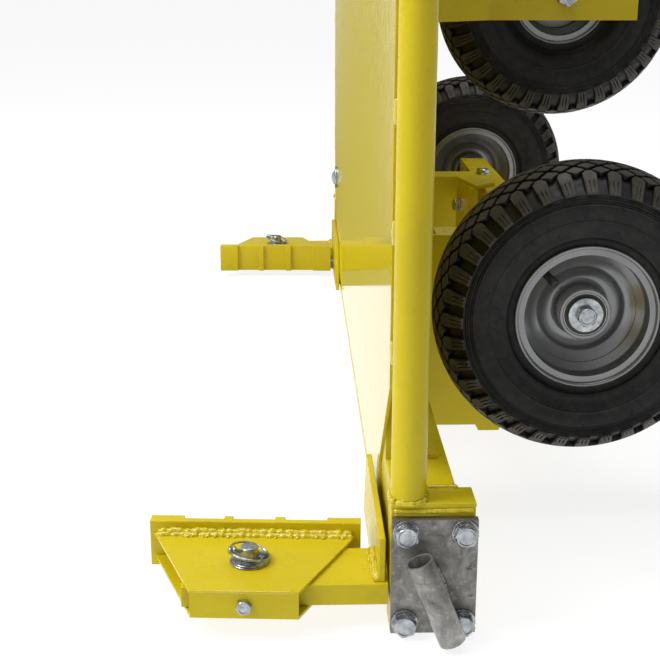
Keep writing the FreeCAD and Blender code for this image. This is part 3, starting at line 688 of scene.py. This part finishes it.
SIDES = (("near", -1, 0.0, -0.160, -3.6, -0.0420), ("far", 1, 0.040, -0.146, -1.5, -0.0394))
for tag, s, sh, px, toe, cx0 in SIDES:
    bm = bmesh.new()
    p = Vector((cx0, s * (0.632 - sh), 0.020)); d = Vector((-1, 0, 0))
    disc(bm, p, d, 0.0105, 0.0052, 0.002)
    hex_head(bm, p + d * 0.002, d, 0.017, 0.0064, 30)
    rod(bm, p - d * 0.0235, p + d * 0.003, 0.005)
    finish_mesh("clamp_screw_" + tag, bm, ZINC, "slide_" + tag, 28.0, ("clamp_bolt_" + tag,))
    # stop screw of the jaw, turned with the jaw
    pin = Vector((px, s * (0.679 - sh), 0.0))
    rot = Matrix.Rotation(math.radians(toe), 3, "Z")
    p = pin + rot @ Vector((0, s * 0.058, 0.033)); d = rot @ Vector((0, s, 0))
    bm = bmesh.new()
    hex_head(bm, p, d, 0.013, 0.0053, 12)
    rod(bm, p - d * 0.0125, p + d * 0.002, 0.004)
    finish_mesh("stop_screw_" + tag, bm, ZINC, "jaw_" + tag, 28.0, ("jaw_stop_bolt_" + tag,))
    # pivot pin with an eased top and a foot
    bm = bmesh.new()
    lathe(bm, [(r * MM, z * MM) for r, z in ((0.02, 63.9), (3.0, 63.9), (6.6, 63.9), (7.8, 63.4), (8.7, 62.2), (8.8, 20.2), (13.4, 20.0), (14.0, 19.4), (14.0, 15.3), (13.2, 14.5), (0.02, 14.5))], tuple(pin), "Z", 48)
    finish_mesh("pivot_pin_" + tag, bm, ZINC, "slide_" + tag, 30.0, ("jaw_pin_" + tag,))
    # two thin washers under the clip
    bm = bmesh.new()
    q = pin + Vector((0, 0, 0.0478))
    disc(bm, q, (0, 0, 1), 0.0185, 0.0091, 0.0015, 56)
    disc(bm, q + Vector((0.0008, -0.0006, 0.00155)), (0, 0, 1), 0.0170, 0.0091, 0.0014, 56)
    finish_mesh("pin_washers_" + tag, bm, ZINC, "slide_" + tag, 30.0, ("pin_washer_" + tag,))
    # lynch pin: knob, shank and the sprung ring that folds over the pin
    bm = bmesh.new()
    d = Vector((-math.cos(math.radians(14)), s * math.sin(math.radians(14)), 0))
    d = (d * math.cos(math.radians(13)) + Vector((0, 0, math.sin(math.radians(13))))).normalized()
    q = pin + Vector((0, 0, 0.0572))
    rod(bm, q - d * 0.0185, q + d * 0.0150, 0.0022, 20)
    rod(bm, q + d * 0.0135, q + d * 0.0168, 0.0047, 24)
    rod(bm, q + d * 0.0165, q + d * 0.0205, 0.0036, 24)
    w = d.cross(Vector((0, 0, 1))).normalized()
    nn3 = w.cross(d).normalized()
    ringp = []
    nn, mm = 64, 10
    for i in range(nn):
        a = 2 * math.pi * i / nn
        cpt = q + d * (0.0186 * math.cos(a)) + w * (0.0180 * math.sin(a)) + nn3 * (0.0010 * math.sin(a) - 0.0008 * math.cos(2 * a))
        tng = (-d * math.sin(a) + w * math.cos(a)).normalized()
        n1 = tng.cross(Vector((0, 0, 1))).normalized()
        ringp.append([bm.verts.new(cpt + n1 * (0.0012 * math.cos(2 * math.pi * j / mm)) + nn3 * (0.0012 * math.sin(2 * math.pi * j / mm))) for j in range(mm)])
    for i in range(nn):
        A, B = ringp[i], ringp[(i + 1) % nn]
        for j in range(mm):
            bm.faces.new((A[j], A[(j + 1) % mm], B[(j + 1) % mm], B[j]))
    bmesh.ops.recalc_face_normals(bm, faces=bm.faces)
    finish_mesh("lynch_clip_" + tag, bm, ZINC, "slide_" + tag, 30.0, ("lynch_pin_" + tag,))

# ------------------------------------------------------------------- welds
sd = 10
for tag, s, sh, px, toe, cx0 in SIDES:
    pin = Vector((px, s * (0.679 - sh), 0.0))
    rot = Matrix.Rotation(math.radians(toe), 3, "Z")
    L = lambda x, y, z: tuple(pin + rot @ Vector((x * MM, -s * y * MM, z * MM)))
    # jaw: fillet between the bracket's top and the back of the gripping face
    bm = bmesh.new()
    weld(bm, [L(-96, 53.6, 47.3), (L(0, 53.0, 47.3)), L(96, 53.6, 47.3)], 0.0036, sd + 1, 0.0066, 14, rough=1.7)
    weld(bm, [L(-95, 57.2, 49.4), (L(0, 57.4, 49.6)), L(95, 57.2, 49.4)], 0.0040, sd + 2, 0.0082, 14, rough=1.7)
    rw = random.Random(sd + 3)
    for i in range(30):
        blob(bm, L(rw.uniform(-94, 94), rw.uniform(48.6, 51.5), 47.7), rw.uniform(0.0009, 0.0026), i)
    weld(bm, [L(-96, 56.8, 20.0), L(96, 56.8, 20.0)], 0.0034, sd + 3, 0.0040)
    weld(bm, [L(-46, -56.8, 46.2), L(46, -56.8, 46.2)], 0.0016, sd + 4, 0.0030)
    finish_mesh("jaw_weld_" + tag, bm, BEAD, "jaw_" + tag, 60.0)
    # arm root against the slide plate, with spatter
    bm = bmesh.new()
    y0, y1 = 0.650 - sh, 0.7165 - sh
    weld(bm, [(cx0 - 0.0015, s * y0, 0.0453), (cx0 - 0.0018, s * (y0 + y1) / 2, 0.0456), (cx0 - 0.0015, s * y1, 0.0453)], 0.0040, sd + 5, 0.0056, rough=2.2)
    weld(bm, [(cx0 - 0.0006, s * (0.6465 - sh), 0.026), (cx0 - 0.0006, s * (0.6465 - sh), 0.044)], 0.0020, sd + 6, 0.0034)
    rn = random.Random(sd)
    for i in range(26):
        blob(bm, (cx0 - 0.0035 - abs(rn.gauss(0, 0.003)), s * rn.uniform(y0, y1), 0.0443), rn.uniform(0.0008, 0.0020), i)
    finish_mesh("arm_weld_" + tag, bm, BEAD, "slide_" + tag, 60.0)
    sd += 20

bm = bmesh.new(); bs = bmesh.new(); cap = bmesh.new()
for s in (-1, 1):
    # foot of the upright: uneven bead, heavier with lumps at its outer front
    c0 = Vector((-0.016, s * 0.711, 0.1256))
    weld(bm, [tuple(c0 + Vector((0.0164 * math.cos(a * math.pi / 20), 0.0164 * math.sin(a * math.pi / 20), 0))) for a in range(41)], 0.0026, 60 + s, 0.0060, 10, 1.6)
    rn = random.Random(70 + s)
    for i in range(26):
        a = rn.uniform(2.2, 4.2) if i < 16 else rn.uniform(0, 6.28)
        rr = rn.uniform(0.0165, 0.0195)
        px_, py_ = c0.x + rr * math.cos(a), s * min(0.7250, abs(c0.y) - rr * math.sin(a))
        blob(bm, (max(px_, -0.0325), py_, 0.1258 + rn.uniform(0, 0.002)), rn.uniform(0.0010, 0.0026), i)
    # seams of the end box: along its top edge over the bolted plate, and to the beam
    weld(bm, [(-0.030, s * 0.7246, 0.1182), (0.006, s * 0.7248, 0.1180), (0.041, s * 0.7246, 0.1182)], 0.0023, 80 + s, 0.0042, 10, 1.4)
    weld(bm, [(-0.029, s * 0.7243, 0.1146), (0.000, s * 0.7245, 0.1144), (0.012, s * 0.7245, 0.1146)], 0.0015, 82 + s, 0.0036, 10, 1.6)
    weld(bm, [(-0.029, s * 0.690, 0.1252), (0.030, s * 0.690, 0.1252), (0.0305, s * 0.690, 0.002)], 0.0028, 84 + s, 0.0038)
    # stitches between panel and upright
    for i, z in enumerate((0.245, 0.352, 0.455, 0.560, 0.665, 0.770, 0.875, 0.975)):
        weld(bm, [(-0.0305, s * 0.6945, z), (-0.0305, s * 0.6945, z + 0.022)], 0.0030, 90 + i + 10 * s, 0.0036)
    # side plates to the beam and to the axle beam
    for y in (0.2222, 0.2298):
        weld(bm, [(0.0305, s * y, 0.010), (0.0305, s * y, 0.124)], 0.0026, 120 + s, 0.0036)
    weld(bm, [(0.1695, s * 0.2300, 0.203), (0.1695, s * 0.2300, 0.250)], 0.0026, 124 + s, 0.0036)
    weld(bm, [(0.1695, s * 0.2222, 0.203), (0.1695, s * 0.2222, 0.250)], 0.0026, 128 + s, 0.0036)
    weld(bm, [(0.190 + 0.0145 * math.cos(a * math.pi / 12), s * 0.3965, 0.226 + 0.0145 * math.sin(a * math.pi / 12)) for a in range(25)], 0.0022, 131 + s, 0.0034)
    # masts on the beam and under the top rail, side plates of the upper wheel on the masts
    for y in (0.121, 0.161):
        weld(bm, [(-0.029, s * y, 0.1252), (0.010, s * y, 0.1252)], 0.0026, 140 + s, 0.0036)
        weld(bm, [(-0.029, s * y, 0.9748), (0.008, s * y, 0.9748)], 0.0022, 143 + s, 0.0036)
    weld(bm, [(0.0105, s * 0.121, 0.1252), (0.0105, s * 0.161, 0.1252)], 0.0026, 146 + s, 0.0036)
    weld(bm, [(0.0108, s * 0.1378, 0.508), (0.0108, s * 0.1378, 0.564)], 0.0028, 150 + s, 0.0038)
    weld(bm, [(0.0108, s * 0.1492, 0.508), (0.0108, s * 0.1492, 0.564)], 0.0028, 153 + s, 0.0038)
    # rail ends on the uprights
    for z0, z1 in ((0.975, 1.005), (0.520, 0.550)):
        weld(bm, [(-0.001, s * 0.6948, z0), (-0.001, s * 0.6948, z1)], 0.0022, 160 + s, 0.0034)
    # socket on its plate, bare
    for dx in (-0.0105, 0.0105):
        weld(bs, [(0.0020 + dx - 0.006, s * 0.7332, 0.0565 + 0.014), (0.0020 + dx + 0.006, s * 0.7332, 0.0565 - 0.014)], 0.0032, 170 + s, 0.0036)
    # folded top of the end box stands a little proud of its sides
    for q in ((-0.0328, 0.0436, 0.6895, 0.7252, 0.1208, 0.1254),):
        x0, x1, y0, y1, z0, z1 = q
        vs = [cap.verts.new((x, s * y, z)) for x in (x0, x1) for y in (y0, y1) for z in (z0, z1)]
        for f in ((0, 1, 3, 2), (4, 6, 7, 5), (0, 4, 5, 1), (2, 3, 7, 6), (0, 2, 6, 4), (1, 5, 7, 3)):
            cap.faces.new([vs[i] for i in f])
bmesh.ops.recalc_face_normals(cap, faces=cap.faces)
bmesh.ops.bevel(cap, geom=list(cap.edges), offset=0.0011, segments=3, profile=0.5, affect="EDGES")
finish_mesh("frame_welds", bm, BEAD, "frame", 60.0)
finish_mesh("socket_welds", bs, STEEL, "frame", 60.0)
finish_mesh("end_box_tops", cap, PAINT, "frame", 40.0)

# ------------------------------------------------------------ camera, stage
cam_data = bpy.data.cameras.new("camera")
cam_data.sensor_fit = "HORIZONTAL"
cam_data.sensor_width = 36.0
cam_data.lens = 1276.21 / 660.0 * 36.0
cam_data.clip_end = 60.0
cam = bpy.data.objects.new("camera", cam_data)
bpy.context.scene.collection.objects.link(cam)
yaw, pitch, roll = math.radians(1.825), math.radians(16.82), math.radians(-0.11)
R = Matrix.Rotation(-yaw, 4, "Z") @ Matrix.Rotation(math.pi / 2 - pitch, 4, "X") @ Matrix.Rotation(-roll, 4, "Z")
cam.matrix_world = Matrix.Translation(Vector((-0.11979, -1.75783, 0.59876))) @ R
bpy.context.scene.camera = cam

fm, fnt, fb = new_mat("floor_white")
fb.inputs["Base Color"].default_value = (0.24, 0.24, 0.24, 1)
fb.inputs["Roughness"].default_value = 0.9
fb.inputs["Specular IOR Level"].default_value = 0.0
fb.inputs["Emission Color"].default_value = (1, 1, 1, 1)
fb.inputs["Emission Strength"].default_value = 0.84
S = 600.0
# the middle of the floor lights the object; a narrow gore behind the far end is left out of its reflections
FLOOR = (
    ("mid", ((-1.5, -1.9), (1.0, -1.9), (1.0, 0.5), (-1.5, 0.5)), True, True),
    ("front", ((-S, -S), (S, -S), (S, -1.9), (-S, -1.9)), False, True),
    ("left", ((-S, -1.9), (-1.5, -1.9), (-1.5, 0.5), (-S, 0.5)), False, True),
    ("right", ((1.0, -1.9), (S, -1.9), (S, 0.5), (1.0, 0.5)), False, True),
    ("gore", ((-0.17, 0.5), (-0.01, 0.5), (-0.5, 16.0), (-1.45, 16.0)), False, False),
    ("far_left", ((-S, 0.5), (-0.17, 0.5), (-1.45, 16.0), (-S, 16.0)), False, True),
    ("far_right", ((-0.01, 0.5), (S, 0.5), (S, 16.0), (-0.5, 16.0)), False, True),
    ("back", ((-S, 16.0), (S, 16.0), (S, S), (-S, S)), False, True),
)
for name, pts, lights, mirrored in FLOOR:
    floor_me = bpy.data.meshes.new("floor_" + name)
    floor_me.from_pydata([(x, y, 0) for x, y in pts], [], [(0, 1, 2, 3)])
    floor = bpy.data.objects.new("floor_" + name, floor_me)
    bpy.context.scene.collection.objects.link(floor)
    floor_me.materials.append(fm)
    floor.visible_diffuse = lights
    floor.visible_glossy = mirrored

# soft room: brighter to the front of the trolley, dim behind its wheels
world = bpy.data.worlds.new("studio")
bpy.context.scene.world = world
world.use_nodes = True
wt = world.node_tree
bg = wt.nodes["Background"]
tc = nd(wt, "ShaderNodeTexCoord")
sp = nd(wt, "ShaderNodeSeparateXYZ")
wt.links.new(tc.outputs["Generated"], sp.inputs[0])
ma = nd(wt, "ShaderNodeMath", operation="MULTIPLY_ADD")
ma.inputs[1].default_value = 0.5
ma.inputs[2].default_value = 0.5
wt.links.new(sp.outputs["X"], ma.inputs[0])
sky = ramp(wt, ma.outputs[0], [(0.0, grey(0.92)), (0.40, grey(0.52)), (0.55, grey(0.30)), (0.72, grey(0.18)), (1.0, grey(0.15))])
mz = nd(wt, "ShaderNodeMath", operation="MULTIPLY_ADD")
mz.inputs[1].default_value = 0.5
mz.inputs[2].default_value = 0.5
wt.links.new(sp.outputs["Z"], mz.inputs[0])
below = ramp(wt, mz.outputs[0], [(0.480, grey(1.0)), (0.492, grey(0.0))])
wt.links.new(mix_col(wt, below, sky, (0.44, 0.38, 0.10)), bg.inputs["Color"])
bg.inputs["Strength"].default_value = 1.0
bpy.context.scene.view_settings.view_transform = "Standard"

def area(name, loc, target, size, power, col=(1, 1, 1), size_y=None):
    l = bpy.data.lights.new(name, "AREA")
    l.shape = "RECTANGLE"
    l.size = size
    l.size_y = size_y or size
    l.energy = power
    l.color = col
    o = bpy.data.objects.new(name, l)
    bpy.context.scene.collection.objects.link(o)
    o.location = loc
    o.rotation_euler = (Vector(target) - Vector(loc)).to_track_quat("-Z", "Y").to_euler()
    return o

area("key", (-2.3, -1.0, 2.6), (0, -0.2, 0.3), 1.4, 64)
area("top", (0.1, -0.1, 3.4), (0.05, -0.1, 0.2), 2.0, 50)
